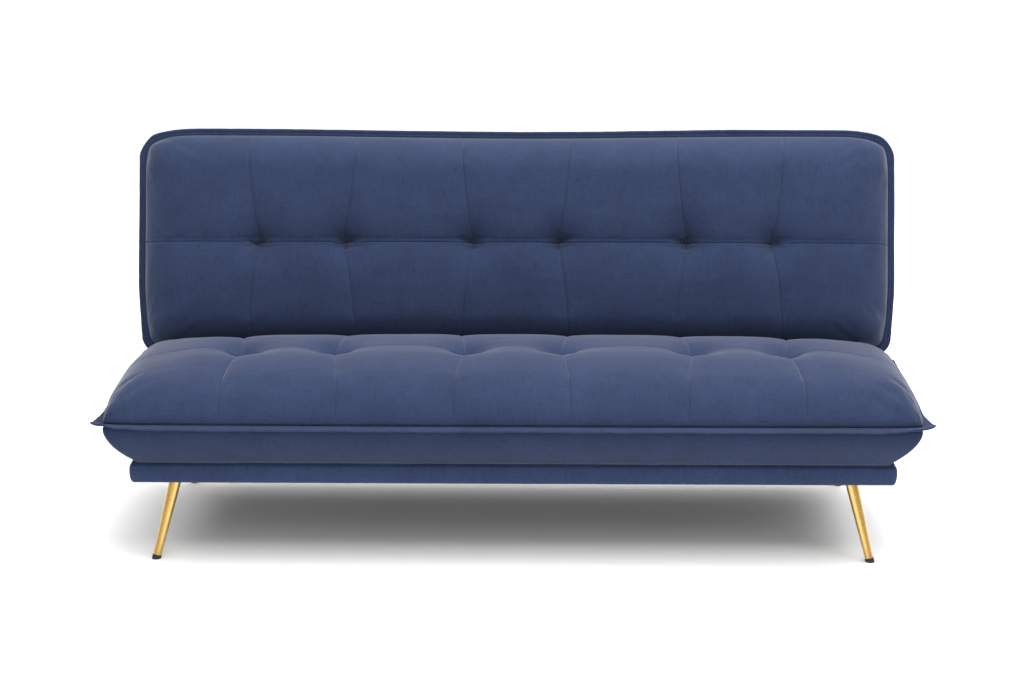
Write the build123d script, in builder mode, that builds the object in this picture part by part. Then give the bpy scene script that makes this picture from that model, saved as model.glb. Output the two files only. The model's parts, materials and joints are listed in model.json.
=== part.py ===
"""Futon sofa bed: a plinth on four splayed legs, a fixed seat and a backrest that reclines to a bed."""
import os
from math import cos, radians, sin

from build123d import *

os.makedirs("parts", exist_ok=True)

# Driving dimensions, in millimetres and degrees. Depths run back from the front edge of the seat.
sofa_width = 1800  # over the flanges
seat_depth = 570  # flange to flange
back_height = 530  # flange to flange, along the slope
flange_height = 344  # floor to the seat's flange
flange_reach = 20  # from the cushion's body to the flange's edge
flange_thickness = 3
flange_lap = 40  # how far the flange runs inside the cushion
edge_round = 75  # rounding of the cushions' faces at their edges
crown_rise = 86  # flange to the top of a cushion
crown_inset = 195
corner_radius = 40
boxing_radius = 25
soft_gap = 0.2  # between soft pieces that lie on each other

plinth_top = 226
plinth_bottom = 180
plinth_front = 80
plinth_rear = 690
plinth_half_width = 834
padding_thickness = 8
plinth_rail = 25

seat_taper = 63  # how far the boxing below the seat steps in at the plinth
rear_taper_share = 0.35
back_boxing = 95
back_taper = 34
taper_power = 1.7

frame_half_width = 812
frame_front = 88
frame_rear = 525
frame_top = 300
rail_thickness = 30

recline_to_bed = 75
bed_gap = 30  # between the two flanges when the bed is flat
pivot_drop = 10.5  # from the back's flange to the pivot
pivot_setback = 5
hinge_plate = 5
hinge_gap = 0.6
pivot_pin_radius = 6
pawl_pin_radius = 4
running_clearance = 0.05

leg_top_x = 740
leg_inset_y = 70
leg_splay_x = 44
leg_splay_y = 43
leg_top_radius = 14
leg_foot_radius = 8.75
leg_wall = 1.5
brace_x = (-260, 260)  # cross rails of the seat, middle uprights of the back
strip_places = [-3, -2, -1, 0, 1, 2, 3]
strip_pitch = 230  # between springs, and between upright straps
screw_hole_depth = 22
glide_length = 8

# Worked-out places. The tip is the lower edge of the back's flange.
flat_tip = (seat_depth + bed_gap, flange_height)
pivot = (flat_tip[0] - pivot_setback, flat_tip[1] - pivot_drop)
up_sin = sin(radians(recline_to_bed))
up_cos = cos(radians(recline_to_bed))
tip = (
    pivot[0] + pivot_setback * up_cos - pivot_drop * up_sin,
    pivot[1] + pivot_setback * up_sin + pivot_drop * up_cos,
)
body_half_width = sofa_width / 2 - flange_reach
rear_panel = 3
panel_inset = flange_reach + back_taper + 2
overall_depth = tip[0] + (back_height - panel_inset) * up_cos + (back_boxing + rear_panel) * up_sin
front = -overall_depth / 2
seat_plane = Plane((0, front + seat_depth / 2, flange_height))
back_plane = Plane((0, front + tip[0], tip[1]), x_dir=(1, 0, 0), z_dir=(0, -up_sin, up_cos))
back_centre = back_height / 2


def save(builder, node):
    """Label a finished piece and write it."""
    builder.part.label = node
    export_step(builder.part, f"parts/{node}.step")


def low_x(side, inner, thickness):
    """The lower X of a layer that starts at inner and grows outward on one side."""
    return inner if side > 0 else -inner - thickness


def side_plane(side, inner, thickness):
    """A YZ plane whose local x is depth from the front edge and local y is height."""
    return Plane((low_x(side, inner, thickness), front, 0), x_dir=(0, 1, 0), z_dir=(1, 0, 0))


def back_side_plane(side, inner, thickness):
    """The same layer in the back's frame: local x runs up the back, local y to its front."""
    origin = back_plane.from_local_coords(Vector(low_x(side, inner, thickness), 0, 0))
    return Plane(origin, x_dir=back_plane.y_dir, z_dir=(1, 0, 0))


def block(node, x, y, z, fillet_radius=2):
    """One straight rail between three pairs of limits, with eased long edges."""
    with BuildPart() as rail:
        with Locations(((x[0] + x[1]) / 2, front + (y[0] + y[1]) / 2, (z[0] + z[1]) / 2)):
            Box(x[1] - x[0], y[1] - y[0], z[1] - z[0])
        long_axis = Axis.X if x[1] - x[0] > y[1] - y[0] else Axis.Y
        fillet(rail.edges().filter_by(long_axis), fillet_radius)
    save(rail, node)


def crown_profile(start):
    """Inset and height of a cushion's face, from its edge to its crown."""
    arc = [radians(angle) for angle in range(0, 76, 15)]
    edge = [(edge_round * (1 - cos(a)), start + (edge_round - start) * sin(a)) for a in arc]
    return edge + [(crown_inset, crown_rise)]


def taper_profile(depth, taper, start):
    """Inset and height of the boxing below a flange."""
    steps = 5
    drops = [start + (depth - start) * i / steps for i in range(steps + 1)]
    return [(taper * (drop / depth) ** taper_power, -drop) for drop in drops]


face_start = flange_thickness / 2 + soft_gap

# Plinth frame
rail_out = plinth_half_width - padding_thickness
rail_in = rail_out - plinth_rail
front_out = plinth_front + padding_thickness
front_in = front_out + plinth_rail
rear_out = plinth_rear - padding_thickness
rear_in = rear_out - plinth_rail
rail_bottom = plinth_bottom + 2
bolt_radius = 4
bolt_head_radius = 7.5
bolt_head_height = 5.5
bolt_top = 275
bolt_clearance = 0.2
front_bolts = [(x, front_out + plinth_rail / 2) for x in (-600, -200, 200, 600)]
cross_rail_x = (-400, 0, 400)
rear_bolts = [(x, frame_rear - rail_thickness / 2) for x in cross_rail_x]


def drill_bolts(places):
    """Clearance holes and head recesses for the bolts that join the seat to the plinth."""
    with Locations([(x, front + y, rail_bottom) for x, y in places]):
        Cylinder(
            bolt_radius + bolt_clearance,
            bolt_top - rail_bottom + 1,
            align=(Align.CENTER, Align.CENTER, Align.MIN),
            mode=Mode.SUBTRACT,
        )
        Cylinder(
            bolt_head_radius + 1,
            bolt_head_height,
            align=(Align.CENTER, Align.CENTER, Align.MIN),
            mode=Mode.SUBTRACT,
        )


for node, near, far in (
    ("plinth_front_rail", front_out, front_in),
    ("plinth_rear_rail", rear_in, rear_out),
):
    with BuildPart() as rail:
        with Locations((0, front + (near + far) / 2, (rail_bottom + plinth_top) / 2)):
            Box(2 * rail_out, plinth_rail, plinth_top - rail_bottom)
        fillet(rail.edges().filter_by(Axis.X), 2)
        if near == front_out:
            drill_bolts(front_bolts)
    save(rail, node)

block("plinth_left_rail", (-rail_out, -rail_in), (front_in, rear_in), (rail_bottom, plinth_top))
block("plinth_right_rail", (rail_in, rail_out), (front_in, rear_in), (rail_bottom, plinth_top))

with BuildPart() as cross_rails:
    cross_rail_places = [
        (x, front + (front_in + rear_in) / 2, (rail_bottom + plinth_top) / 2) for x in cross_rail_x
    ]
    with Locations(cross_rail_places):
        Box(plinth_rail, rear_in - front_in, plinth_top - rail_bottom)
    drill_bolts(rear_bolts)
save(cross_rails, "plinth_cross_rails")

# Corner blocks, leg plates and their screws
plate_top = 190
plate_thickness = 4
plate_size = (76, 64)
block_inner_x = 690
block_size = (rail_in - block_inner_x, 96)
screw_radius = 3
screw_head_radius = 5.5
screw_head_height = 3
screw_length = 20
screw_reach = 24
screw_spread = (28, 22)
leg_places = {
    "front_left": (-leg_top_x, plinth_front + leg_inset_y, -1, -1),
    "front_right": (leg_top_x, plinth_front + leg_inset_y, 1, -1),
    "rear_left": (-leg_top_x, plinth_rear - leg_inset_y, -1, 1),
    "rear_right": (leg_top_x, plinth_rear - leg_inset_y, 1, 1),
}
screw_offsets = [(side * screw_spread[0], end * screw_spread[1]) for side in (-1, 1) for end in (-1, 1)]
screw_points = [
    (x + dx, front + y + dy) for x, y, out_x, out_y in leg_places.values() for dx, dy in screw_offsets
]

with BuildPart() as corner_blocks:
    for side in (-1, 1):
        for near in (front_in, rear_in - block_size[1]):
            with Locations(
                (
                    side * (rail_in - block_size[0] / 2),
                    front + near + block_size[1] / 2,
                    (plate_top + plinth_top) / 2,
                )
            ):
                Box(block_size[0], block_size[1], plinth_top - plate_top)
    with Locations([(x, y, plate_top) for x, y in screw_points]):
        Cylinder(
            screw_radius + bolt_clearance,
            screw_reach + 1,
            align=(Align.CENTER, Align.CENTER, Align.MIN),
            mode=Mode.SUBTRACT,
        )
save(corner_blocks, "plinth_corner_blocks")

with BuildPart() as leg_screws:
    with BuildSketch(Plane.XY.offset(plate_top - plate_thickness - screw_head_height)):
        with Locations(screw_points):
            Circle(screw_head_radius)
    extrude(amount=screw_head_height)
    with BuildSketch(Plane.XY.offset(plate_top - plate_thickness)):
        with Locations(screw_points):
            Circle(screw_radius)
    extrude(amount=plate_thickness + screw_reach)
save(leg_screws, "leg_plate_screws")

# Legs: a steel mounting plate, a tapered tube and a black plastic glide
leg_drop = plate_top - plate_thickness
leg_overrun = 20  # above the plate, cut off level with it
plate_corner = 8
glide_lip = 1.2
glide_plug = 12
for place, (x, y, out_x, out_y) in leg_places.items():
    lean_vector = Vector(out_x * leg_splay_x, out_y * leg_splay_y, -plinth_bottom)
    down = lean_vector.normalized()
    top_centre = Vector(x, front + y, leg_drop)
    leg_length = leg_drop / -down.Z
    leg_plane = Plane(top_centre, z_dir=down)
    tube_end = leg_length - glide_length
    foot_slope = (leg_top_radius - leg_foot_radius) / leg_length
    start = -leg_overrun
    start_radius = leg_top_radius - foot_slope * start

    with BuildPart() as leg_plate:
        with Locations((x, front + y, leg_drop)):
            Box(plate_size[0], plate_size[1], plate_thickness, align=(Align.CENTER, Align.CENTER, Align.MIN))
        fillet(leg_plate.edges().filter_by(Axis.Z), plate_corner)
        with Locations([(x + dx, front + y + dy, leg_drop) for dx, dy in screw_offsets]):
            Cylinder(screw_radius + bolt_clearance, 3 * plate_thickness, mode=Mode.SUBTRACT)
    save(leg_plate, f"leg_plate_{place}")

    with BuildPart() as leg:
        with BuildSketch(leg_plane.offset(start)):
            Circle(start_radius)
        with BuildSketch(leg_plane.offset(tube_end)):
            Circle(leg_foot_radius + foot_slope * glide_length)
        loft()
        with BuildSketch(leg_plane.offset(start)):
            Circle(start_radius - leg_wall)
        with BuildSketch(leg_plane.offset(tube_end)):
            Circle(leg_foot_radius + foot_slope * glide_length - leg_wall)
        loft(mode=Mode.SUBTRACT)
        split(bisect_by=Plane.XY.offset(leg_drop), keep=Keep.BOTTOM)
    save(leg, f"leg_{place}")

    with BuildPart() as glide:
        with BuildSketch(leg_plane.offset(tube_end)):
            Circle(leg_foot_radius + glide_lip)
        extrude(amount=3 * glide_length)
        with BuildSketch(leg_plane.offset(tube_end - glide_plug)):
            Circle(leg_foot_radius - leg_wall - soft_gap)
        extrude(amount=glide_plug)
        split(bisect_by=Plane.XY, keep=Keep.TOP)
    save(glide, f"leg_glide_{place}")

# Upholstered wrap of the plinth, in four strips, and the cloth under it
slit = 0.5
wrap_corner = 12
wrap_profile = ((4, 181), (1, 188), (0, 203), (1, 218), (4, 225.5))  # inset, height
with BuildPart() as plinth_padding:
    for inset, height in wrap_profile:
        with BuildSketch(Plane((0, front + (plinth_front + plinth_rear) / 2, height))):
            RectangleRounded(
                2 * (plinth_half_width - inset), plinth_rear - plinth_front - 2 * inset, wrap_corner
            )
    loft(ruled=True)
    with Locations((0, front + (front_out + rear_out) / 2, (plinth_top + plinth_bottom) / 2)):
        Box(2 * rail_out, rear_out - front_out, 60, mode=Mode.SUBTRACT)
    with Locations([(0, front + y, plinth_top) for y in (front_out + slit, rear_out - slit)]):
        Box(2 * sofa_width, slit, 120, mode=Mode.SUBTRACT)
save(plinth_padding, "plinth_padding")

cloth_thickness = 1
cloth_cutout = 6  # wider than the leg plates
with BuildPart() as dust_cover:
    with Locations((0, front + (front_out + rear_out) / 2, rail_bottom)):
        Box(
            2 * rail_out - 2,
            rear_out - front_out - 2,
            cloth_thickness,
            align=(Align.CENTER, Align.CENTER, Align.MAX),
        )
    with Locations([(x, front + y, rail_bottom) for x, y, out_x, out_y in leg_places.values()]):
        Box(plate_size[0] + cloth_cutout, plate_size[1] + cloth_cutout, 10, mode=Mode.SUBTRACT)
save(dust_cover, "dust_cover")

deck_front = frame_rear + 8
deck_thickness = 6
with BuildPart() as rear_deck:
    with BuildSketch(Plane((0, front + (deck_front + rear_out) / 2, plinth_top))):
        Rectangle(2 * rail_out, rear_out - deck_front)
    extrude(amount=deck_thickness)
    fillet(rear_deck.edges().filter_by(Axis.X).group_by(Axis.Z)[-1], 2)
save(rear_deck, "plinth_rear_deck")

# Seat frame. The hinge's seat arm lies on the inner face of each end rail.
end_rail_in = frame_half_width - rail_thickness
hinge_in = end_rail_in - hinge_plate
back_arm_out = hinge_in - hinge_gap
back_arm_in = back_arm_out - hinge_plate
slot_in = hinge_in - hinge_gap
slot_width = end_rail_in - slot_in
seat_screw_depths = (395, 435, 475)
seat_screw_height = 274

for side, node in ((-1, "seat_left_rail"), (1, "seat_right_rail")):
    with BuildPart() as rail:
        with Locations(
            (
                side * (frame_half_width - rail_thickness / 2),
                front + (frame_front + frame_rear) / 2,
                (plinth_top + frame_top) / 2,
            )
        ):
            Box(rail_thickness, frame_rear - frame_front, frame_top - plinth_top)
        fillet(rail.edges().filter_by(Axis.Y), 2)
        with BuildSketch(side_plane(side, end_rail_in, screw_hole_depth)):
            with Locations([(depth, seat_screw_height) for depth in seat_screw_depths]):
                Circle(screw_radius + bolt_clearance)
        extrude(amount=screw_hole_depth, mode=Mode.SUBTRACT)
    save(rail, node)

with BuildPart() as seat_front_rail:
    with Locations((0, front + frame_front + rail_thickness / 2, (plinth_top + frame_top) / 2)):
        Box(2 * end_rail_in, rail_thickness, frame_top - plinth_top)
    fillet(seat_front_rail.edges().filter_by(Axis.X), 2)
    drill_bolts(front_bolts)
save(seat_front_rail, "seat_front_rail")

arm_low = 254
with BuildPart() as seat_rear_rail:
    with Locations((0, front + frame_rear - rail_thickness / 2, (plinth_top + frame_top) / 2)):
        Box(2 * end_rail_in, rail_thickness, frame_top - plinth_top)
    fillet(seat_rear_rail.edges().filter_by(Axis.X), 2)
    drill_bolts(rear_bolts)
    for side in (-1, 1):
        with Locations((side * (slot_in + slot_width / 2), front + frame_rear, frame_top)):
            Box(slot_width, 4 * rail_thickness, 2 * (frame_top - arm_low), mode=Mode.SUBTRACT)
save(seat_rear_rail, "seat_rear_rail")

inner_front = frame_front + rail_thickness
inner_rear = frame_rear - rail_thickness
brace_height = 46
with BuildPart() as seat_cross_rails:
    with Locations([(x, front + (inner_front + inner_rear) / 2, plinth_top) for x in brace_x]):
        Box(
            rail_thickness,
            inner_rear - inner_front,
            brace_height,
            align=(Align.CENTER, Align.CENTER, Align.MIN),
        )
save(seat_cross_rails, "seat_cross_rails")

# Zigzag springs from the front rail to the rear rail, in clips
wire_radius = 1.75
spring_height = frame_top + 4
spring_half_width = 24
spring_x = [strip_pitch * i for i in strip_places]
spring_inset = 14
spring_front = frame_front + spring_inset
spring_rear = frame_rear - spring_inset
bend_radius = 14
clip_size = (18, 14, 7)
bend_count = 11
bend_pitch = (spring_rear - spring_front) / bend_count

zigzag = []
for i in range(bend_count + 1):
    ends = (-spring_half_width, spring_half_width) if i % 2 == 0 else (spring_half_width, -spring_half_width)
    zigzag += [(end, front + spring_front + bend_pitch * i, spring_height) for end in ends]
zigzag_starts = Plane(zigzag[0], z_dir=(1, 0, 0))

with BuildPart() as one_spring:
    with BuildLine():
        FilletPolyline(*zigzag, radius=bend_radius)
    with BuildSketch(zigzag_starts):
        Circle(wire_radius)
    sweep()

with BuildPart() as seat_springs:
    for x in spring_x:
        add(Pos(x, 0, 0) * one_spring.part)
save(seat_springs, "seat_springs")

with BuildPart() as spring_clips:
    clip_places = [(x, front + y, frame_top) for x in spring_x for y in (spring_front, spring_rear)]
    with Locations(clip_places):
        Box(*clip_size, align=(Align.CENTER, Align.CENTER, Align.MIN))
    with Locations([(x, y, spring_height) for x, y, z in clip_places]):
        Cylinder(wire_radius + 0.1, 20, rotation=(0, 90, 0), mode=Mode.SUBTRACT)
save(spring_clips, "seat_spring_clips")

felt_gap = 8  # over the rails, so that the springs clear it
felt_bottom = frame_top + felt_gap
felt_thickness = 4
with BuildPart() as seat_felt:
    with Locations((0, front + (frame_front + frame_rear) / 2, felt_bottom)):
        Box(
            2 * frame_half_width - 20,
            frame_rear - frame_front - 8,
            felt_thickness,
            align=(Align.CENTER, Align.CENTER, Align.MIN),
        )
save(seat_felt, "seat_felt")

# Seat upholstery: cushion, boxing in four strips, and the stitched flange
seat_body_depth = seat_depth - 2 * flange_reach
cushion_bottom = felt_bottom + felt_thickness + soft_gap
inner_depth = frame_rear - frame_front
inner_middle = (frame_front + frame_rear) / 2
ring_play = 1

with BuildPart() as seat_cushion:
    for inset, height in crown_profile(face_start):
        with BuildSketch(seat_plane.offset(height)):
            RectangleRounded(2 * (body_half_width - inset), seat_body_depth - 2 * inset, corner_radius)
    loft(ruled=True)
    with Locations((0, front + inner_middle, cushion_bottom)):
        Box(
            2 * frame_half_width - 2,
            inner_depth - 2,
            flange_height + face_start + 2 - cushion_bottom,
            align=(Align.CENTER, Align.CENTER, Align.MIN),
        )
save(seat_cushion, "seat_cushion")

with BuildPart() as seat_border:
    for inset, height in taper_profile(flange_height - plinth_top - 1, seat_taper, face_start):
        with BuildSketch(seat_plane.offset(height)):
            with Locations((0, inset * (1 - rear_taper_share) / 2)):
                RectangleRounded(
                    2 * (body_half_width - inset),
                    seat_body_depth - inset * (1 + rear_taper_share),
                    boxing_radius,
                )
    loft(ruled=True)
    with Locations((0, front + inner_middle, flange_height)):
        Box(2 * frame_half_width + ring_play, inner_depth + ring_play, 400, mode=Mode.SUBTRACT)
    with Locations([(0, front + y, flange_height) for y in (frame_front + slit, frame_rear - slit)]):
        Box(2 * sofa_width, slit, 400, mode=Mode.SUBTRACT)
    arm_slots = [(side * (slot_in + slot_width / 2), front + frame_rear, flange_height) for side in (-1, 1)]
    with Locations(arm_slots):
        Box(slot_width + 1, 80, 2 * (flange_height - arm_low), mode=Mode.SUBTRACT)
save(seat_border, "seat_border")

notch_width = 30
notch_x = back_arm_out
flange_corner = 14
seat_window_depth = seat_depth - 2 * flange_reach - 50
with BuildPart() as seat_flange:
    with BuildSketch(seat_plane.offset(-flange_thickness / 2)):
        RectangleRounded(sofa_width, seat_depth, flange_corner)
        Rectangle(sofa_width - 2 * (flange_reach + flange_lap), seat_window_depth, mode=Mode.SUBTRACT)
        with Locations([(side * notch_x, seat_depth / 2) for side in (-1, 1)]):
            Rectangle(notch_width, 2 * (flange_reach - 1), mode=Mode.SUBTRACT)
    extrude(amount=flange_thickness)
save(seat_flange, "seat_flange")

# Backrest frame, drawn in the back's own plane
back_frame_inset = 52
back_rail_low = -88
back_rail_high = -28
upright_in = back_arm_out
back_rail_middle = (back_rail_low + back_rail_high) / 2
back_rail_depth = back_rail_high - back_rail_low
back_screw_places = (100, 150, 200)
arm_middle = -60

for node, along in (
    ("back_bottom_rail", back_frame_inset + rail_thickness / 2),
    ("back_top_rail", back_height - back_frame_inset - rail_thickness / 2),
):
    with BuildPart() as rail:
        with BuildSketch(back_plane.offset(back_rail_low)):
            with Locations((0, along)):
                Rectangle(2 * upright_in, rail_thickness)
        extrude(amount=back_rail_depth)
        fillet(rail.edges().filter_by(Axis.X), 2)
        if along < back_centre:
            with BuildSketch(back_plane.offset(back_rail_low + 8)):
                with Locations([(side * (upright_in - slot_width / 2), along) for side in (-1, 1)]):
                    Rectangle(slot_width, 2 * rail_thickness)
            extrude(amount=back_rail_depth, mode=Mode.SUBTRACT)
    save(rail, node)

for side, node in ((-1, "back_left_upright"), (1, "back_right_upright")):
    with BuildPart() as upright:
        with BuildSketch(back_plane.offset(back_rail_low)):
            with Locations((side * (upright_in + rail_thickness / 2), back_centre)):
                Rectangle(rail_thickness, back_height - 2 * back_frame_inset)
        extrude(amount=back_rail_depth)
        with BuildSketch(back_side_plane(side, upright_in, screw_hole_depth)):
            with Locations([(along, arm_middle) for along in back_screw_places]):
                Circle(screw_radius + bolt_clearance)
        extrude(amount=screw_hole_depth, mode=Mode.SUBTRACT)
    save(upright, node)

with BuildPart() as mid_uprights:
    with BuildSketch(back_plane.offset(back_rail_low)):
        with Locations([(x, back_centre) for x in brace_x]):
            Rectangle(rail_thickness, back_height - 2 * (back_frame_inset + rail_thickness))
    extrude(amount=back_rail_depth - 15)
save(mid_uprights, "back_mid_uprights")

# Elastic webbing in two layers across the back frame
strap_width = 50
strap_thickness = 1.4
strap_places = (115, 215, 315, 415)
with BuildPart() as back_webbing:
    with BuildSketch(back_plane.offset(back_rail_high)):
        with Locations([(0, along) for along in strap_places]):
            Rectangle(2 * (upright_in + 20), strap_width)
    extrude(amount=strap_thickness)
save(back_webbing, "back_webbing")

with BuildPart() as cross_webbing:
    with BuildSketch(back_plane.offset(back_rail_high + strap_thickness)):
        with Locations([(strip_pitch * i, back_centre) for i in strip_places]):
            Rectangle(strap_width, back_height - 2 * back_frame_inset - 10)
    extrude(amount=strap_thickness)
save(cross_webbing, "back_cross_webbing")

# Back upholstery
back_body_height = back_height - 2 * flange_reach
back_inner_half = upright_in + rail_thickness
back_inner_height = back_height - 2 * back_frame_inset
back_block_low = back_rail_high + 2 * strap_thickness + soft_gap

with BuildPart() as back_cushion:
    for inset, height in crown_profile(face_start):
        with BuildSketch(back_plane.offset(height)):
            with Locations((0, back_centre)):
                RectangleRounded(
                    2 * (body_half_width - inset), back_body_height - 2 * inset, corner_radius
                )
    loft(ruled=True)
    with BuildSketch(back_plane.offset(back_block_low)):
        with Locations((0, back_centre)):
            Rectangle(2 * back_inner_half - 2, back_inner_height - 2)
    extrude(amount=face_start + 2 - back_block_low)
save(back_cushion, "back_cushion")

with BuildPart() as back_border:
    for inset, height in taper_profile(back_boxing, back_taper, face_start):
        with BuildSketch(back_plane.offset(height)):
            with Locations((0, back_centre)):
                RectangleRounded(
                    2 * (body_half_width - inset), back_body_height - 2 * inset, boxing_radius
                )
    loft(ruled=True)
    with BuildSketch(back_plane.offset(-200)):
        with Locations((0, back_centre)):
            Rectangle(2 * back_inner_half + ring_play, back_inner_height + ring_play)
        for along in (back_frame_inset + slit, back_height - back_frame_inset - slit):
            with Locations((0, along)):
                Rectangle(2 * sofa_width, slit)
    extrude(amount=400, mode=Mode.SUBTRACT)
    with BuildSketch(back_plane.offset(back_rail_low + 8)):
        with Locations([(side * (upright_in - slot_width / 2), back_frame_inset) for side in (-1, 1)]):
            Rectangle(slot_width + 1, 100)
    extrude(amount=200, mode=Mode.SUBTRACT)
save(back_border, "back_border")

with BuildPart() as back_flange:
    with BuildSketch(back_plane.offset(-flange_thickness / 2)):
        with Locations((0, back_centre)):
            RectangleRounded(sofa_width, back_height, flange_corner)
            Rectangle(
                sofa_width - 2 * (flange_reach + flange_lap),
                back_height - 2 * back_frame_inset,
                mode=Mode.SUBTRACT,
            )
        with Locations([(side * notch_x, 0) for side in (-1, 1)]):
            Rectangle(notch_width, 2 * (flange_reach - 1), mode=Mode.SUBTRACT)
    extrude(amount=flange_thickness)
save(back_flange, "back_flange")

panel_corner = 20
with BuildPart() as back_panel:
    with BuildSketch(back_plane.offset(-back_boxing - rear_panel)):
        with Locations((0, back_centre)):
            RectangleRounded(sofa_width - 2 * panel_inset, back_height - 2 * panel_inset, panel_corner)
    extrude(amount=rear_panel)
save(back_panel, "back_rear_panel")

# Ratchet hinges. The pawl's nose meets the toothed sector at the contact angle, seen from the pivot.
sector_radius = 40
pawl_nose_radius = 4.5
pawl_lift = 0.5
pawl_lever = 30
contact_degrees = -110
contact_angle = radians(contact_degrees)
nose_distance = sector_radius + pawl_nose_radius + pawl_lift
nose = (pivot[0] + nose_distance * cos(contact_angle), pivot[1] + nose_distance * sin(contact_angle))
pawl_pivot = (nose[0] - pawl_lever * sin(contact_angle), nose[1] + pawl_lever * cos(contact_angle))
tail_reach = (20, -10)
tail_width = 7
pawl_tail = (pawl_pivot[0] + tail_reach[0], pawl_pivot[1] + tail_reach[1])
pin_head = 3
pin_head_radius = 9
pin_gap = 0.3
pawl_pin_head = 2
pawl_pin_head_radius = 6.5
back_pivot = (-pivot_setback, -pivot_drop)
sector_start = -197
sector_sweep = 98
notch_step = 25
notch_depth = 3.9
notch_radius = pawl_nose_radius + 0.7
notch_distance = sector_radius + notch_radius - notch_depth
notch_angles = [radians(contact_degrees - recline_to_bed + notch_step * i) for i in range(4)]
pawl_hub_radius = 8
seat_boss_radius = 18
back_boss_radius = 20
pawl_boss_radius = 11
seat_arm_outline = [
    (380, 256),
    (380, 292),
    (530, 292),
    (582, 346),
    (611, 326),
    (pawl_pivot[0] + pawl_boss_radius, pawl_pivot[1]),
    (pawl_pivot[0] - 4, pawl_pivot[1] - 10.5),
    (525, 256),
]
back_arm_outline = [(-2, 6), (60, -42), (235, -44), (235, -76), (60, -76), (-12, -29)]
spring_room = 8
coil_radius = 5.2
coil_wire_radius = 0.6
coil_leg = 12
coil_turns = 4
coil_gap = 1.5

for side, hand in ((-1, "left"), (1, "right")):
    with BuildPart() as seat_arm:
        with BuildSketch(side_plane(side, hinge_in, hinge_plate)):
            with BuildLine():
                Polyline(*seat_arm_outline, close=True)
            make_face()
            with Locations(pivot):
                Circle(seat_boss_radius)
            with Locations(pawl_pivot):
                Circle(pawl_boss_radius)
            with Locations(pivot):
                Circle(pivot_pin_radius, mode=Mode.SUBTRACT)
            with Locations(pawl_pivot):
                Circle(pawl_pin_radius, mode=Mode.SUBTRACT)
            with Locations([(depth, seat_screw_height) for depth in seat_screw_depths]):
                Circle(screw_radius + bolt_clearance, mode=Mode.SUBTRACT)
        extrude(amount=hinge_plate)
    save(seat_arm, f"hinge_seat_arm_{hand}")

    with BuildPart() as back_arm:
        with BuildSketch(back_side_plane(side, back_arm_in, hinge_plate)):
            with BuildLine():
                Polyline(*back_arm_outline, close=True)
            make_face()
            with Locations(back_pivot):
                Circle(back_boss_radius)
            with BuildLine():
                rim = CenterArc(back_pivot, sector_radius, sector_start, sector_sweep)
                Polyline(rim @ 1, back_pivot, rim @ 0)
            make_face()
            for angle in notch_angles:
                with Locations(
                    (
                        back_pivot[0] + notch_distance * cos(angle),
                        back_pivot[1] + notch_distance * sin(angle),
                    )
                ):
                    Circle(notch_radius, mode=Mode.SUBTRACT)
            with Locations(back_pivot):
                Circle(pivot_pin_radius + running_clearance, mode=Mode.SUBTRACT)
            with Locations([(along, arm_middle) for along in back_screw_places]):
                Circle(screw_radius + bolt_clearance, mode=Mode.SUBTRACT)
        extrude(amount=hinge_plate)
    save(back_arm, f"hinge_back_arm_{hand}")

    inner_head = back_arm_in - pin_gap - pin_head
    pin_length = end_rail_in - back_arm_in + pin_gap
    with BuildPart() as pivot_pin:
        for radius, start_x, length in (
            (pin_head_radius, inner_head, pin_head),
            (pivot_pin_radius, back_arm_in - pin_gap, pin_length),
            (pin_head_radius, end_rail_in, pin_head),
        ):
            with BuildSketch(side_plane(side, start_x, length)):
                with Locations(pivot):
                    Circle(radius)
            extrude(amount=length)
    save(pivot_pin, f"hinge_pivot_pin_{hand}")

    with BuildPart() as pawl:
        with BuildSketch(side_plane(side, back_arm_in, hinge_plate)):
            for end, width in ((nose, 2 * pawl_nose_radius), (pawl_tail, tail_width)):
                run = Vector(*end) - Vector(*pawl_pivot)
                turn = run.get_signed_angle(Vector(1, 0, 0), Vector(0, 0, -1))
                with Locations(Vector(*pawl_pivot) + run / 2):
                    SlotCenterToCenter(run.length, width, rotation=turn)
            with Locations(pawl_pivot):
                Circle(pawl_hub_radius)
                Circle(pawl_pin_radius + running_clearance, mode=Mode.SUBTRACT)
        extrude(amount=hinge_plate)
    save(pawl, f"pawl_{hand}")

    with BuildPart() as pawl_pin:
        for radius, start_x, length in (
            (pawl_pin_head_radius, back_arm_in - spring_room - pawl_pin_head, pawl_pin_head),
            (pawl_pin_radius, back_arm_in - spring_room, spring_room + end_rail_in - back_arm_in),
            (pawl_pin_head_radius, end_rail_in, pawl_pin_head),
        ):
            with BuildSketch(side_plane(side, start_x, length)):
                with Locations(pawl_pivot):
                    Circle(radius)
            extrude(amount=length)
    save(pawl_pin, f"pawl_pin_{hand}")

    coil_length = spring_room - 2 * coil_gap
    coil_start = low_x(side, back_arm_in - spring_room + coil_gap, coil_length)
    with BuildPart() as pawl_spring:
        with BuildLine() as wire:
            coil = Helix(
                pitch=coil_length / coil_turns,
                height=coil_length,
                radius=coil_radius,
                center=(coil_start, front + pawl_pivot[0], pawl_pivot[1]),
                direction=(1, 0, 0),
            )
            Line(coil @ 1, coil @ 1 + (coil % 1) * coil_leg)
            Line(coil @ 0 - (coil % 0) * coil_leg, coil @ 0)
        with BuildSketch(Plane(wire.line @ 0, z_dir=wire.line % 0)):
            Circle(coil_wire_radius)
        sweep()
    save(pawl_spring, f"pawl_spring_{hand}")

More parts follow.
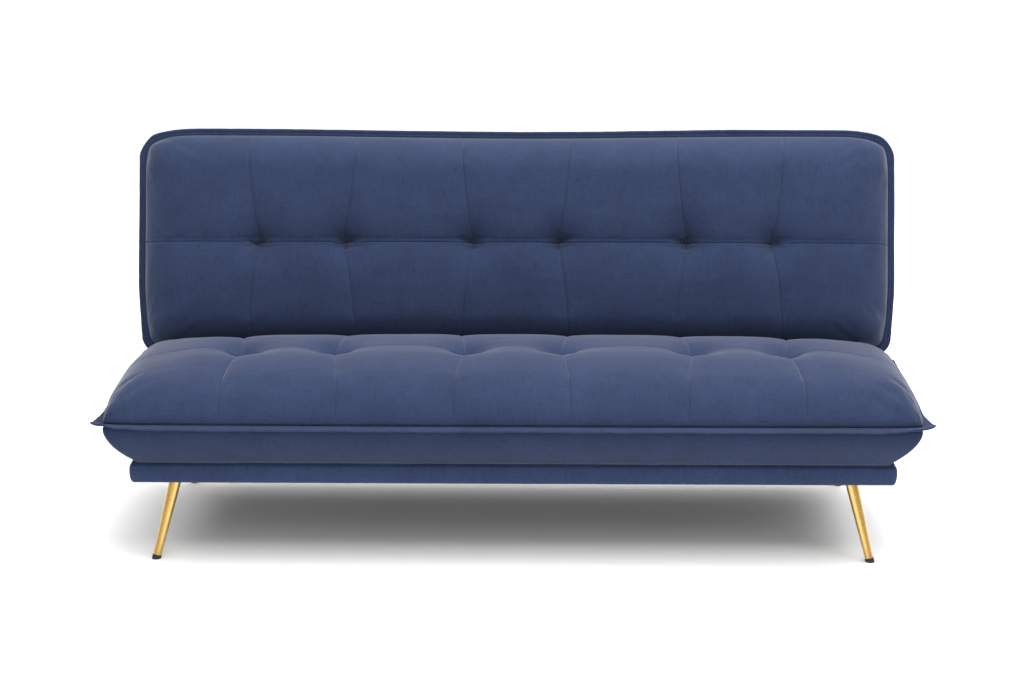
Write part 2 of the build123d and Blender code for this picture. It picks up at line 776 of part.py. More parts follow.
for node, height_plane, places, inner in (
    ("hinge_seat_screws", side_plane, [(d, seat_screw_height) for d in seat_screw_depths], hinge_in),
    ("hinge_back_screws", back_side_plane, [(a, arm_middle) for a in back_screw_places], back_arm_in),
):
    with BuildPart() as screws:
        for side in (-1, 1):
            for radius, start_x, length in (
                (screw_head_radius, inner - screw_head_height, screw_head_height),
                (screw_radius, inner, hinge_plate + screw_length),
            ):
                with BuildSketch(height_plane(side, start_x, length)):
                    with Locations(places):
                        Circle(radius)
                extrude(amount=length)
    save(screws, node)

with BuildPart() as frame_bolts:
    bolt_places = [(x, front + y) for x, y in front_bolts + rear_bolts]
    with BuildSketch(Plane.XY.offset(rail_bottom + 0.5)):
        with Locations(bolt_places):
            RegularPolygon(bolt_head_radius, 6)
    extrude(amount=bolt_head_height - 0.5)
    with BuildSketch(Plane.XY.offset(rail_bottom + bolt_head_height)):
        with Locations(bolt_places):
            Circle(bolt_radius)
    extrude(amount=bolt_top - rail_bottom - bolt_head_height)
save(frame_bolts, "seat_to_plinth_bolts")
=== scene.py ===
"""Looks of the futon sofa bed: stitched navy microfibre pillows, gold legs and steel ratchet hinges."""
import json
import math
from collections import namedtuple
from contextlib import contextmanager
from dataclasses import dataclass

import bmesh
import bpy
import numpy as np
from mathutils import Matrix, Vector, noise


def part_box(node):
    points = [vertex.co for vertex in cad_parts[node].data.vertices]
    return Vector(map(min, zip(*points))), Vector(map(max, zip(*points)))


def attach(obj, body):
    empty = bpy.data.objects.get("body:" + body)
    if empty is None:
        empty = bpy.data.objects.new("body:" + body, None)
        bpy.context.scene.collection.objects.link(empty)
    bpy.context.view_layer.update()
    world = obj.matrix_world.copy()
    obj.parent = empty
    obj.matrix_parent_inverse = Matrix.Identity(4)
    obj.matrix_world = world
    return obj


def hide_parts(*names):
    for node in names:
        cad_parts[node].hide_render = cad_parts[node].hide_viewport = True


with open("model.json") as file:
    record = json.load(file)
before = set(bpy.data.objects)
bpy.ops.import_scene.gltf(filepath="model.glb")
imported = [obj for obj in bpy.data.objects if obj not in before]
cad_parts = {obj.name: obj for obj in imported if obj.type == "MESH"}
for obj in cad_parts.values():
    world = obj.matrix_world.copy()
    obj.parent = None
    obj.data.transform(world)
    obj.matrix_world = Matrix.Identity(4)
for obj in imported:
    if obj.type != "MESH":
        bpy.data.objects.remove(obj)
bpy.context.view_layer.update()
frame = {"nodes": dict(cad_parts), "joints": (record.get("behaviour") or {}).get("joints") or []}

MM = 0.001
nodes = frame["nodes"]
recline = math.radians(max(frame["joints"][0]["range_deg"]))

# Places read from the frame
seat_low, seat_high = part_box("seat_flange")
SEAT_CENTRE = (seat_low + seat_high) / 2
HALF_WIDTH = (seat_high.x - seat_low.x) / 2
SEAT_HALF_DEPTH = (seat_high.y - seat_low.y) / 2
FLANGE_THICKNESS = seat_high.z - seat_low.z
BACK_UP = Vector((0, math.cos(recline), math.sin(recline)))
BACK_FRONT = Vector((0, -math.sin(recline), math.cos(recline)))
back_low, back_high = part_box("back_flange")
BACK_CENTRE = (back_low + back_high) / 2
BACK_HALF_HEIGHT = ((back_high.z - back_low.z) - FLANGE_THICKNESS * BACK_UP.y) / BACK_UP.z / 2
BODY_HALF_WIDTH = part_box("seat_cushion")[1].x
FLANGE_REACH = HALF_WIDTH - BODY_HALF_WIDTH
SEAT_BODY_HALF_DEPTH = SEAT_HALF_DEPTH - FLANGE_REACH
BACK_BODY_HALF_HEIGHT = BACK_HALF_HEIGHT - FLANGE_REACH
plinth_low, plinth_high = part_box("plinth_padding")
BOXING_DROP = SEAT_CENTRE.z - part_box("seat_border")[0].z
SEAT_ARM_X, BACK_ARM_X = (
    (low.x + high.x) / 2 for low, high in (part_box("hinge_seat_arm_right"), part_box("hinge_back_arm_right"))
)

# Upholstery measures, in metres
EDGE_ROUND = 75 * MM
SEAT_CROWN = 101 * MM
SEAT_REAR_FALL = 13 * MM
BACK_CROWN = 80 * MM
END_FALL = 8 * MM  # how far the crown has dropped at END_FALL_AT from the middle
END_FALL_AT = 0.72
FRONT_SAG = 17 * MM
SAG_EASE = 0.1  # share of the sag that is lost at the front corners
TOP_RISE = 6 * MM  # of the backrest's top edge at its middle, and as much again towards its ends
TOP_RISE_REACH = 0.65
TOP_CORNER_DROP = 28 * MM
TOP_CORNER_FROM = 0.75
TOP_CORNER_LENGTH = 0.15
BOTTOM_DRAW = 9 * MM  # how far the backrest's sides draw in near its lower edge
WARP_REACH = 0.9  # share of the half depth over which a warp grows to its full size
BACK_DEPTH = 95 * MM
BACK_TAPER = 34 * MM
SEAT_TAPER = 63 * MM
FRAME_GAP = 0.7 * MM  # between a frame and the padding round it
BLOCK_GAP = 2 * MM  # between that padding and the foam block inside
LIP = 0.7 * MM  # from a slot's open width to the full border beside it
ARM_SLOT = 3.4 * MM  # half width of a slot for one hinge arm
FLANGE_NOTCH = 14 * MM  # half width of the gap in a flange over both hinge arms
NO_SLOT = (0, 0.0, 0.0)
PANEL = 2 * BODY_HALF_WIDTH / 7
SEAM_X = [PANEL * (i - 2.5) for i in range(6)]
TUFT_SHIFT = [28 * MM, -24 * MM, 26 * MM, -26 * MM, 24 * MM, -28 * MM]
CREASE_WIDTH = 2.2 * MM
SEAM_DEPTH, CROSS_SEAM_DEPTH = 3.6 * MM, 2.4 * MM
SEAM_CREASE, CROSS_SEAM_CREASE = 3.2 * MM, 2.6 * MM
SEAM_REACH = 34 * MM
VALLEY_DEPTH, VALLEY_REACH = 6 * MM, 56 * MM
FLANGE_GAP = 2.2 * MM
STITCH_AT = 0.44  # where the groove and its stitches lie, as a share of the flange's reach
FRONT_FROM = 0.9  # share of the half depth beyond which a flange counts as its front run
LIFT_CURVE = 1.3  # how a flange's lift grows from its root to its rim

# Blind tufts: the share of the depth in the wide dish and in the sharp pit, and the fan of short pleats
DISH_SHARE, DISH_RADIUS = 0.40, 52 * MM
PIT_SHARE, PIT_RADIUS = 0.60, 13 * MM
PINCH_DEPTH, PINCH_WIDTH, PINCH_LENGTH, PINCH_ABOVE = 3.6 * MM, 2.4 * MM, 20 * MM, 12 * MM
PLEAT_DEPTH, PLEAT_WIDTH = 7.2 * MM, 1.9 * MM
PLEAT_SPAN = 34  # millimetres
# rise and length in millimetres, and side
PLEATS = ((11, 34, 1), (5, 40, 1), (-1, 26, 1), (-7, 30, 1), (7, 20, -1), (-3, 24, -1))

# Grids and the cloth simulation
CLOTH_SPACING = 11 * MM
CLOTH_CAP = 9 * MM
CLOTH_FRAMES = 20
CLOTH_SETTINGS = {
    "quality": 6,
    "mass": 0.3,
    "tension_stiffness": 20,
    "compression_stiffness": 12,
    "shear_stiffness": 8,
    "bending_stiffness": 0.6,
    "use_pressure": True,
    "uniform_pressure_force": 4,
    "vertex_group_mass": "pin",
}
SEAM_PIN = 0.35
SEAM_PIN_REACH = 6 * MM
TUFT_PIN_REACH = 12 * MM
BOARD_SPACING = 11 * MM

# A sewn edge round a cushion. slot is a side (1 far, -1 near), the distance of its two slots from the
# middle, and their half width. curl lifts the corners, droop lowers the rest.
Edge = namedtuple("Edge", "plane half_y seed slot curl droop radius on_seat")


def blur_step(value):
    """0 below 0, 1 above 1, and a smooth step between."""
    value = np.clip(value, 0, 1)
    return value * value * (3 - 2 * value)


class Frame:
    """A working plane: across, along and out of a cushion. warp bends what lies on it."""

    def __init__(self, origin, along, out, warp=None):
        self.origin = np.array(origin)
        self.axes = np.array([(1.0, 0.0, 0.0), along, out])
        self.warp = warp

    def world(self, points):
        """World positions of points given as rows of across, along and out."""
        points = np.asarray(points, dtype=float)
        if self.warp:
            points = points + self.warp(points)
        return self.origin + points @ self.axes


def seat_warp(points):
    """The front edge hangs lower from corner to corner, and the crown and the plinth line stay."""
    x, y, z = points.T
    front = blur_step(-y / (WARP_REACH * SEAT_HALF_DEPTH))
    fade = np.where(z < 0, 1 + z / BOXING_DROP, 1 - z / SEAT_CROWN)
    sag = FRONT_SAG * (1 - SAG_EASE * np.abs(x / HALF_WIDTH) ** 3) * front * np.clip(fade, 0, 1)
    return np.column_stack([0 * x, 0 * x, -sag])


def back_warp(points):
    """The top edge rises a little towards its ends and rounds off, and the sides draw in at the bottom."""
    x, y, z = points.T
    side = np.abs(x)
    top = blur_step(y / (WARP_REACH * BACK_HALF_HEIGHT))
    rise = TOP_RISE + TOP_RISE * blur_step(side / TOP_RISE_REACH)
    rounded = TOP_CORNER_DROP * np.clip((side - TOP_CORNER_FROM) / TOP_CORNER_LENGTH, 0, None) ** 2.6
    low = blur_step((-y - 0.08) / 0.18) * BOTTOM_DRAW * side / HALF_WIDTH
    return np.column_stack([-np.sign(x) * low, (rise - rounded) * top, 0 * z])


SEAT = Frame(SEAT_CENTRE, (0.0, 1.0, 0.0), (0.0, 0.0, 1.0), seat_warp)
BACK = Frame(BACK_CENTRE, tuple(BACK_UP), tuple(BACK_FRONT), back_warp)


# ---------------------------------------- mesh helpers

def make_object(name, verts, faces):
    """A smooth-shaded mesh object in the scene."""
    mesh = bpy.data.meshes.new(name)
    mesh.from_pydata([tuple(v) for v in verts], [], faces)
    mesh.polygons.foreach_set("use_smooth", [True] * len(mesh.polygons))
    mesh.update()
    piece = bpy.data.objects.new(name, mesh)
    bpy.context.scene.collection.objects.link(piece)
    return piece


@contextmanager
def editing(piece):
    """Open a piece's mesh in bmesh, and write it back afterwards."""
    mesh = bmesh.new()
    mesh.from_mesh(piece.data)
    yield mesh
    mesh.to_mesh(piece.data)
    mesh.free()


def outward(piece):
    """Merge points that fall together and turn all faces of a closed mesh outward."""
    with editing(piece) as mesh:
        bmesh.ops.remove_doubles(mesh, verts=mesh.verts, dist=0.02 * MM)
        bmesh.ops.recalc_face_normals(mesh, faces=mesh.faces)


def apply_modifiers(piece):
    """Replace a piece's mesh by what its modifiers make of it."""
    depsgraph = bpy.context.evaluated_depsgraph_get()
    mesh = bpy.data.meshes.new_from_object(piece.evaluated_get(depsgraph))
    piece.modifiers.clear()
    piece.data = mesh


def subdivided(piece):
    """Subdivide a mesh once. An open border keeps its corners."""
    smoother = piece.modifiers.new("Subdivision", "SUBSURF")
    smoother.levels = smoother.render_levels = 1
    smoother.boundary_smooth = "PRESERVE_CORNERS"
    apply_modifiers(piece)
    return piece


def finish_piece(piece, body, material, slot, *replaced):
    """Give a piece its material and body, and hide the CAD nodes it stands for. The slot is not used."""
    piece.data.materials.clear()
    piece.data.materials.append(material)
    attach(piece, body)
    if replaced:
        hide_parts(*replaced)


def wander(points, scale, seed):
    """Smooth noise between about -1 and 1 at each row of points."""
    shift = Vector((seed * 7.31, seed * 3.17, seed * 5.53))
    flat = np.asarray(points).reshape(-1, 3)
    values = [noise.noise(Vector(p) * scale + shift) for p in flat.tolist()]
    return np.array(values).reshape(np.asarray(points).shape[:-1])


# ---------------------------------------- pillows

def edge_steps(half, spacing):
    """Grid positions from -half to half: even steps along the middle, equal turns round each edge."""
    turns = [EDGE_ROUND * (1 - math.cos(math.radians(a))) for a in range(0, 90, 7)]
    count = round(2 * (half - EDGE_ROUND) / spacing)
    middle = np.linspace(-half + EDGE_ROUND, half - EDGE_ROUND, count + 1)
    near = -half + np.array(turns)
    return np.concatenate([near, middle, -near[::-1]])


SEAM_LINES = [0.6, 1.6, 3.2, 5.5, 9, 14]  # millimetres from a seam
TUFT_LINES = [0.6, 1.6, 2.7, 4.0, 5.4, 7.0, 8.8, 11, 14]


def with_seams(positions, seams, spacing, lines):
    """Add fine grid lines beside each seam, and drop the even ones they replace."""
    offsets = np.array([-line for line in reversed(lines)] + [0] + lines) * MM
    clear = lines[-1] * MM + spacing / 2
    kept = [p for p in positions if all(abs(p - s) > clear for s in seams)]
    return np.sort(np.concatenate([kept] + [s + offsets for s in seams]))


def rounding(distance):
    """Height share of a quarter-round edge at a distance in from the border."""
    share = np.clip(distance / EDGE_ROUND, 0, 1)
    return np.clip(1 - (1 - share) ** 2.25, 0, 1) ** 0.48


@dataclass
class Pillow:
    """One long pillow face: a quarter-round border, a crown, panels between seams and blind tufts."""

    plane: Frame
    half_depth: float
    crown: float
    rear_fall: float
    side_bulge: float
    corner_draw: float
    tuft_along: float
    tuft_depth: float
    cross_seam: bool
    seed: int

    def __post_init__(self):
        self.half = (BODY_HALF_WIDTH, self.half_depth)
        self.tufts = [(x + shift, self.tuft_along) for x, shift in zip(SEAM_X, TUFT_SHIFT)]

    def seam_pull(self, across, along):
        """How far each seam leans towards its tuft at a place on the cushion."""
        knots = [-self.half[0]] + SEAM_X + [self.half[0]]
        shifts = [0.0] + TUFT_SHIFT + [0.0]
        reach = np.clip(1 - np.abs(along - self.tuft_along) / (self.half[1] * 0.95), 0, 1)
        return np.interp(across, knots, shifts) * reach**1.6

    def base(self, across, along):
        """Smooth pillow without seams: rows of across, along, out."""
        in_x = self.half[0] - np.abs(across)
        in_y = self.half[1] - np.abs(along)
        round_x, round_y = rounding(in_x), rounding(in_y)
        swell = blur_step(in_x / (2.6 * EDGE_ROUND)) * blur_step(in_y / (2.6 * EDGE_ROUND))
        fall = self.rear_fall * blur_step((along + 0.03) / 0.22) 
        fall = fall + END_FALL * np.abs(across / END_FALL_AT) ** 3
        out = FLANGE_GAP + (EDGE_ROUND - FLANGE_GAP) * round_x * round_y
        out = out + (self.crown - EDGE_ROUND) * swell - fall * round_x * round_y
        x = across + self.seam_pull(across, along) * blur_step(in_y / (0.4 * EDGE_ROUND))
        corner = (1 - round_x) * (1 - round_y)
        bulge = np.sin(np.pi * np.clip(in_x / EDGE_ROUND, 0, 1)) * blur_step(in_y / (1.3 * EDGE_ROUND))
        draw = self.corner_draw * corner
        x = x + np.sign(across) * (self.side_bulge * bulge - draw)
        y = along - np.sign(along) * draw
        return np.stack([x, y, out], axis=-1)

    def detail(self, points, across, along):
        """Depth of seams, panels and tufts along the surface's normal."""
        x, y = points[..., 0], points[..., 1]
        border = np.minimum(self.half[0] - np.abs(across), self.half[1] - np.abs(along))
        near_edge = blur_step(border / (12 * MM))
        depth, crease = np.zeros_like(x), np.zeros_like(x)
        strength = 0.5 + 0.5 * blur_step(1 - np.abs(along - self.tuft_along) / (self.half[1] * 0.8))
        for seam in SEAM_X:
            gap = np.abs(across - seam)
            depth -= SEAM_DEPTH * np.exp(-((gap / SEAM_REACH) ** 1.3)) * strength
            crease -= SEAM_CREASE * np.exp(-gap / CREASE_WIDTH)
        gap = np.abs(along - self.tuft_along)
        if self.cross_seam:
            depth -= CROSS_SEAM_DEPTH * np.exp(-((gap / SEAM_REACH) ** 1.3))
            crease -= CROSS_SEAM_CREASE * np.exp(-gap / CREASE_WIDTH)
        else:
            valley = np.exp(-((gap / VALLEY_REACH) ** 1.6))
            depth -= VALLEY_DEPTH * valley * blur_step((self.half[0] - np.abs(across)) / 0.2) ** 0.7
        for number, (tuft_x, tuft_y) in enumerate(self.tufts):
            depth += self.tuft(x - tuft_x, y - tuft_y, number)
        broad = wander(points, 5.5, self.seed) * 2.0 * MM
        fine = wander(points * np.array([0.5, 1.6, 1.6]), 26.0, self.seed + 2) * 0.45 * MM
        return (depth + broad + fine) * near_edge + crease * blur_step(border / (3 * MM))

    def tuft(self, dx, dy, number):
        """A blind tuft: a wide dish, a sharp pit, a fan of short pleats and an upright pinch."""
        radius = np.sqrt(dx**2 + dy**2)
        dish = DISH_SHARE * np.exp(-((radius / DISH_RADIUS) ** 2))
        pit = -self.tuft_depth * (dish + PIT_SHARE * np.exp(-radius / PIT_RADIUS))
        outer = -1 if number % 2 == 0 else 1
        away = np.clip(dx * outer / (PLEAT_SPAN * MM), -1.5, 1.5)
        pleats = np.zeros_like(dx)
        for lift, length, side in PLEATS:
            reach = np.clip(away * side, 0, None)
            off = np.abs(dy - lift * MM * reach - 2 * MM * np.sin(lift + number))
            along_pleat = np.exp(-((reach * PLEAT_SPAN / length) ** 4)) * blur_step(reach / 0.1)
            pleats -= PLEAT_DEPTH * np.exp(-off / PLEAT_WIDTH) * along_pleat
        pinch = np.exp(-np.abs(dx) / PINCH_WIDTH) * np.exp(-(((dy - PINCH_ABOVE) / PINCH_LENGTH) ** 2))
        return pit + pleats - PINCH_DEPTH * pinch

    def surface(self, across, along, swelling=None):
        """The finished surface over a grid of across and along values."""
        points = self.base(across, along)
        if swelling is not None:
            points = points + swelling
        along_row = np.gradient(points, axis=0)
        along_column = np.gradient(points, axis=1)
        normal = np.cross(along_row, along_column)
        normal /= np.maximum(np.linalg.norm(normal, axis=-1, keepdims=True), 1e-9)
        normal *= np.sign(normal[..., 2:3] + 1e-6)
        return points + normal * self.detail(points, across, along)[..., None]


def grid_faces(rows, columns):
    """Four-sided faces of a grid of points stored row by row."""
    faces = []
    for i in range(rows - 1):
        for j in range(columns - 1):
            a = i * columns + j
            faces.append((a, a + columns, a + columns + 1, a + 1))
    return faces


def cloth_swelling(pillow, cap):
    """Inflate the pillow's cloth between its border, seams and tufts, and give the movement as a grid."""
    across = edge_steps(pillow.half[0], CLOTH_SPACING)
    along = edge_steps(pillow.half[1], CLOTH_SPACING)
    grid_x, grid_y = np.meshgrid(across, along, indexing="ij")
    start = pillow.base(grid_x, grid_y)
    rows, columns = grid_x.shape
    cloth = make_object("cloth_" + str(pillow.seed), start.reshape(-1, 3), grid_faces(rows, columns))
    pin = cloth.vertex_groups.new(name="pin")
    flat_x, flat_y = grid_x.ravel(), grid_y.ravel()
    seam_gap = np.min([np.abs(flat_x - seam) for seam in SEAM_X], axis=0)
    if pillow.cross_seam:
        seam_gap = np.minimum(seam_gap, np.abs(flat_y - pillow.tuft_along))
    border = np.minimum(pillow.half[0] - np.abs(flat_x), pillow.half[1] - np.abs(flat_y))
    place = start.reshape(-1, 3)
    tuft_gap = np.min([np.hypot(place[:, 0] - x, place[:, 1] - y) for x, y in pillow.tufts], axis=0)
    held = (border < 1 * MM) | (tuft_gap < TUFT_PIN_REACH)
    pin.add(np.flatnonzero(held).tolist(), 1.0, "REPLACE")
    pin.add(np.flatnonzero((seam_gap < SEAM_PIN_REACH) & ~held).tolist(), SEAM_PIN, "REPLACE")
    modifier = cloth.modifiers.new("Cloth", "CLOTH")
    for setting, value in CLOTH_SETTINGS.items():
        setattr(modifier.settings, setting, value)
    modifier.settings.effector_weights.gravity = 0
    modifier.collision_settings.use_collision = False
    scene = bpy.context.scene
    for step in range(1, CLOTH_FRAMES + 1):
        scene.frame_set(step)
    depsgraph = bpy.context.evaluated_depsgraph_get()
    result = cloth.evaluated_get(depsgraph).to_mesh()
    moved = np.zeros(len(result.vertices) * 3)
    result.vertices.foreach_get("co", moved)
    scene.frame_set(1)
    bpy.data.objects.remove(cloth)
    shift = moved.reshape(-1, 3) - start.reshape(-1, 3)
    length = np.linalg.norm(shift, axis=1, keepdims=True)
    shift *= cap * np.tanh(length / cap) / np.maximum(length, 1e-9)
    return across, along, shift.reshape(rows, columns, 3)


def sample(swelling, grid_x, grid_y):
    """Read the cloth's movement at the places of a finer grid."""
    across, along, shift = swelling
    i = np.clip(np.searchsorted(across, grid_x) - 1, 0, len(across) - 2)
    j = np.clip(np.searchsorted(along, grid_y) - 1, 0, len(along) - 2)
    s = np.clip((grid_x - across[i]) / (across[i + 1] - across[i]), 0, 1)[..., None]
    t = np.clip((grid_y - along[j]) / (along[j + 1] - along[j]), 0, 1)[..., None]
    low = shift[i, j] * (1 - s) + shift[i + 1, j] * s
    high = shift[i, j + 1] * (1 - s) + shift[i + 1, j + 1] * s
    return low * (1 - t) + high * t


def build_pillow(name, pillow, block):
    """Closed pillow: the sewn face, a flat border on the flange, and the foam block inside the frame."""
    across = with_seams(edge_steps(pillow.half[0], 8 * MM), SEAM_X, 8 * MM, SEAM_LINES)
    along = edge_steps(pillow.half[1], 7 * MM)
    along = with_seams(along, [pillow.tuft_along], 7 * MM, TUFT_LINES)
    grid_x, grid_y = np.meshgrid(across, along, indexing="ij")
    swelling = None
    swelling = sample(cloth_swelling(pillow, CLOTH_CAP), grid_x, grid_y)
    top = pillow.surface(grid_x, grid_y, swelling)
    piece = make_object(name, pillow.plane.world(top.reshape(-1, 3)), grid_faces(*grid_x.shape))
    subdivided(piece)
    close_underside(piece, pillow, block)
    piece.data.polygons.foreach_set("use_smooth", [True] * len(piece.data.polygons))
    return piece


def close_underside(piece, pillow, block):
    """Carry the open border in to the foam block and down its sides, and close it at the bottom."""
    low_y, high_y, half_x, bottom = block
    plane = pillow.plane
    with editing(piece) as mesh:
        for height in (FLANGE_GAP - 1 * MM, bottom):
            border = [edge for edge in mesh.edges if edge.is_boundary]
            made = bmesh.ops.extrude_edge_only(mesh, edges=border)["geom"]
            for vertex in (item for item in made if isinstance(item, bmesh.types.BMVert)):
                local = plane.axes @ (np.array(vertex.co) - plane.origin)
                if height > bottom:
                    local[0] *= half_x / pillow.half[0]
                    local[1] = (low_y + high_y) / 2 + local[1] * (high_y - low_y) / 2 / pillow.half[1]
                local[2] = height
                vertex.co = plane.origin + local @ plane.axes
        border = [edge for edge in mesh.edges if edge.is_boundary]
        filled = bmesh.ops.holes_fill(mesh, edges=border, sides=0)
        bmesh.ops.triangulate(mesh, faces=filled["faces"])
        bmesh.ops.recalc_face_normals(mesh, faces=mesh.faces)


# ---------------------------------------- bands that run round a cushion

def rounded_path(half_x, half_y, radius, spacing, slot):
    """Points and outward directions round a rectangle with rounded corners, anticlockwise.

    slot is a side (1 far, -1 near), the distance of its two slots from the middle, and their half width.
    """
    slot_side, slot_x, slot_half = slot
    widths = (slot_half, slot_half + LIP)
    lips = [side * slot_x + end * width for side in (-1, 1) for end in (-1, 1) for width in widths]
    places, directions = [], []
    corner_steps = 10
    corners = ((1, -1), (1, 1), (-1, 1), (-1, -1))
    for quarter, (side_x, side_y) in enumerate(corners):
        for k in range(corner_steps + 1):
            angle = math.radians(-90 + 90 * quarter + 90 * k / corner_steps)
            out = np.array((math.cos(angle), math.sin(angle)))
            centre = np.array((side_x * (half_x - radius), side_y * (half_y - radius)))
            places.append(centre + radius * out)
            directions.append(out)
        half = half_y - radius if quarter % 2 == 0 else half_x - radius
        count = max(2, round(2 * half / spacing))
        stops = list(np.linspace(-half, half, count + 1)[1:-1])
        if quarter % 2 and slot_side == side_y:
            kept = [stop for stop in stops if abs(abs(stop) - slot_x) > slot_half + 3 * LIP]
            stops = sorted(kept + lips)
        run = np.array((-math.sin(angle), math.cos(angle)))
        middle = out * (half_x if quarter % 2 == 0 else half_y)
        for stop in stops:
            places.append(middle + run * stop)
            directions.append(out)
    return np.array(places), np.array(directions)


def in_slot(place, slot):
    """Whether a place on a path lies within one of its slots."""
    slot_side, slot_x, slot_half = slot
    return slot_side * place[1] > 0 and abs(abs(place[0]) - slot_x) <= slot_half + LIP / 2


def band(name, plane, path, section):
    """Sweep a closed section round a path. section(place, direction) gives its points."""
    points = np.array([section(place, direction) for place, direction in zip(*path)])
    count, size = points.shape[:2]
    faces = []
    for i in range(count):
        following = (i + 1) % count
        for j in range(size):
            beside = (j + 1) % size
            faces.append((i * size + j, following * size + j, following * size + beside, i * size + beside))
    piece = make_object(name, plane.world(points.reshape(-1, 3)), faces)
    outward(piece)
    return piece


def displace(piece, shift):
    """Move each vertex by shift(positions, normals), given and returned as arrays."""
    mesh = piece.data
    count = len(mesh.vertices)
    positions, normals = np.zeros(count * 3), np.zeros(count * 3)
    mesh.vertices.foreach_get("co", positions)
    mesh.vertices.foreach_get("normal", normals)
    positions, normals = positions.reshape(-1, 3), normals.reshape(-1, 3)
    mesh.vertices.foreach_set("co", (positions + shift(positions, normals)).ravel())
    mesh.update()
    return piece


def corner_share(place, half_x, half_y, reach):
    """1 at a corner of the rectangle, falling to 0 at reach along either edge."""
    gap = math.hypot(half_x - abs(place[0]), half_y - abs(place[1]))
    return max(0.0, 1 - gap / reach)


def flange_offsets(place, edge):
    """Reach and lift of the sewn flange at one place on its path."""
    corner = corner_share(place, BODY_HALF_WIDTH, edge.half_y, 95 * MM)
    point = Vector((place[0], place[1], edge.seed))
    gather = noise.noise(point * 58) * (0.5 + 2.0 * corner**1.5)
    slow = noise.noise(point * 7)
    wide = 1.0
    if not edge.on_seat:
        wide = 0.86
    elif place[1] > -FRONT_FROM * edge.half_y:
        wide = 0.55 + 0.45 * corner**0.7 * (place[1] < 0)
    reach = FLANGE_REACH * wide * (1 + 0.05 * slow) - 1.2 * MM * abs(gather)
    if in_slot(place, edge.slot):
        reach *= 0.12
    front = 1.0 if place[1] < -FRONT_FROM * edge.half_y else 0.4
    front_corner = corner * (place[1] < 0 or not edge.on_seat)
    lift = 2.3 * MM * gather + 1.3 * MM * slow
    lift = lift + edge.curl * front_corner**2 - edge.droop * front * (1 - corner)
    return reach, lift


def flange(name, edge):
    """The doubled, stitched fold of cover cloth round a cushion."""
    path = rounded_path(BODY_HALF_WIDTH, edge.half_y, edge.radius, 6 * MM, edge.slot)
    thick = 2.7 * MM
    tucked = -22 * MM
    profile = ((0.16, 0.72), (0.32, 0.80), (STITCH_AT, 0.34))
    profile += ((0.56, 0.88), (0.76, 1), (0.91, 0.80), (1, 0.26))

    def section(place, direction):
        reach, lift = flange_offsets(place, edge)
        if edge.on_seat and place[1] < 0:
            reach += 3 * MM * corner_share(place, BODY_HALF_WIDTH, edge.half_y, 26 * MM)
        rows = [(tucked, 0.8 * MM), (-2 * MM, 0.9 * MM)]
        rows += [(share * reach, height * thick) for share, height in profile]
        both = rows + [(out, -up) for out, up in reversed(rows)]
        points = []
        for out, up in both:
            flat = place + direction * out
            points.append((flat[0], flat[1], up + lift * max(0.0, out / reach) ** LIFT_CURVE))
        return points

    return subdivided(band(name, edge.plane, path, section))


def stitch_row(name, edge):
    """Short thread stitches along the flange's groove, above and below."""
    places, directions = rounded_path(BODY_HALF_WIDTH, edge.half_y, edge.radius, 4.6 * MM, edge.slot)
    verts, faces = [], []
    length, thick = 1.6 * MM, 0.36 * MM
    for place, direction in zip(places, directions):
        if corner_share(place, BODY_HALF_WIDTH, edge.half_y, 12 * MM) > 0:
            continue
        reach, lift = flange_offsets(place, edge)
        if reach < 0.5 * FLANGE_REACH:
            continue
        run = np.array((-direction[1], direction[0], 0.0))
        side = np.array((direction[0], direction[1], 0.0))
        for face in (1, -1):
            height = face * 1.35 * MM + lift * STITCH_AT**LIFT_CURVE
            centre = np.array((*(place + direction * STITCH_AT * reach), height))
            first = len(verts)
            up = np.array((0.0, 0.0, 1.0))
            verts += [centre - run * length, centre + side * thick, centre + up * thick]
            verts += [centre - side * thick, centre - up * thick, centre + run * length]
            faces += [(first, first + 1 + (m + 1) % 4, first + 1 + m) for m in range(4)]
            faces += [(first + 5, first + 1 + m, first + 1 + (m + 1) % 4) for m in range(4)]
    piece = make_object(name, edge.plane.world(np.array(verts)), faces)
    outward(piece)
    return piece


def boxing(name, plane, half_y, *, drop, taper, rear_share, inner, slot, slot_level, seed):
    """Foam-lined band below a flange, curving in to its lower edge, with a slot for each hinge arm.

    inner is the near, far and side reach of the frame inside, rear_share the taper's share at the rear.
    """
    path = rounded_path(BODY_HALF_WIDTH - 0.5 * MM, half_y - 0.5 * MM, 9 * MM, 9 * MM, slot)
    low_y, high_y, inner_x = inner
    steps = 15

    def section(place, direction):
        rear = blur_step(place[1] / half_y) if rear_share < 1 else 0.0
        share = 1 - (1 - rear_share) * rear
        inner_y = high_y if place[1] > 0 else -low_y
        open_to = slot_level / drop if in_slot(place, slot) else 0.0
        points = []
        for k in range(steps + 1):
            t = max(k / steps, open_to)
            belly = 2.6 * MM * math.sin(math.pi * t) - 6.5 * MM * math.exp(-t * 13)
            inset = taper * t**1.7
            x = place[0] * (1 - inset / BODY_HALF_WIDTH) + direction[0] * belly
            y = place[1] * (1 - inset * share / half_y) + direction[1] * belly
            points.append((x, y, -FLANGE_GAP - (drop - FLANGE_GAP) * t))
        bottom_x, bottom_y = place[0] * inner_x / BODY_HALF_WIDTH, place[1] * inner_y / half_y
        points.append((bottom_x, bottom_y, -drop - 0.4 * MM))
        points.append((bottom_x, bottom_y, -drop * max(0.55, open_to)))
        points.append((bottom_x, bottom_y, -max(FLANGE_GAP + 1 * MM, open_to * drop)))
        return points

    piece = band(name, plane, path, section)
    return displace(piece, lambda p, n: n * boxing_folds(p, plane, seed, drop)[:, None])


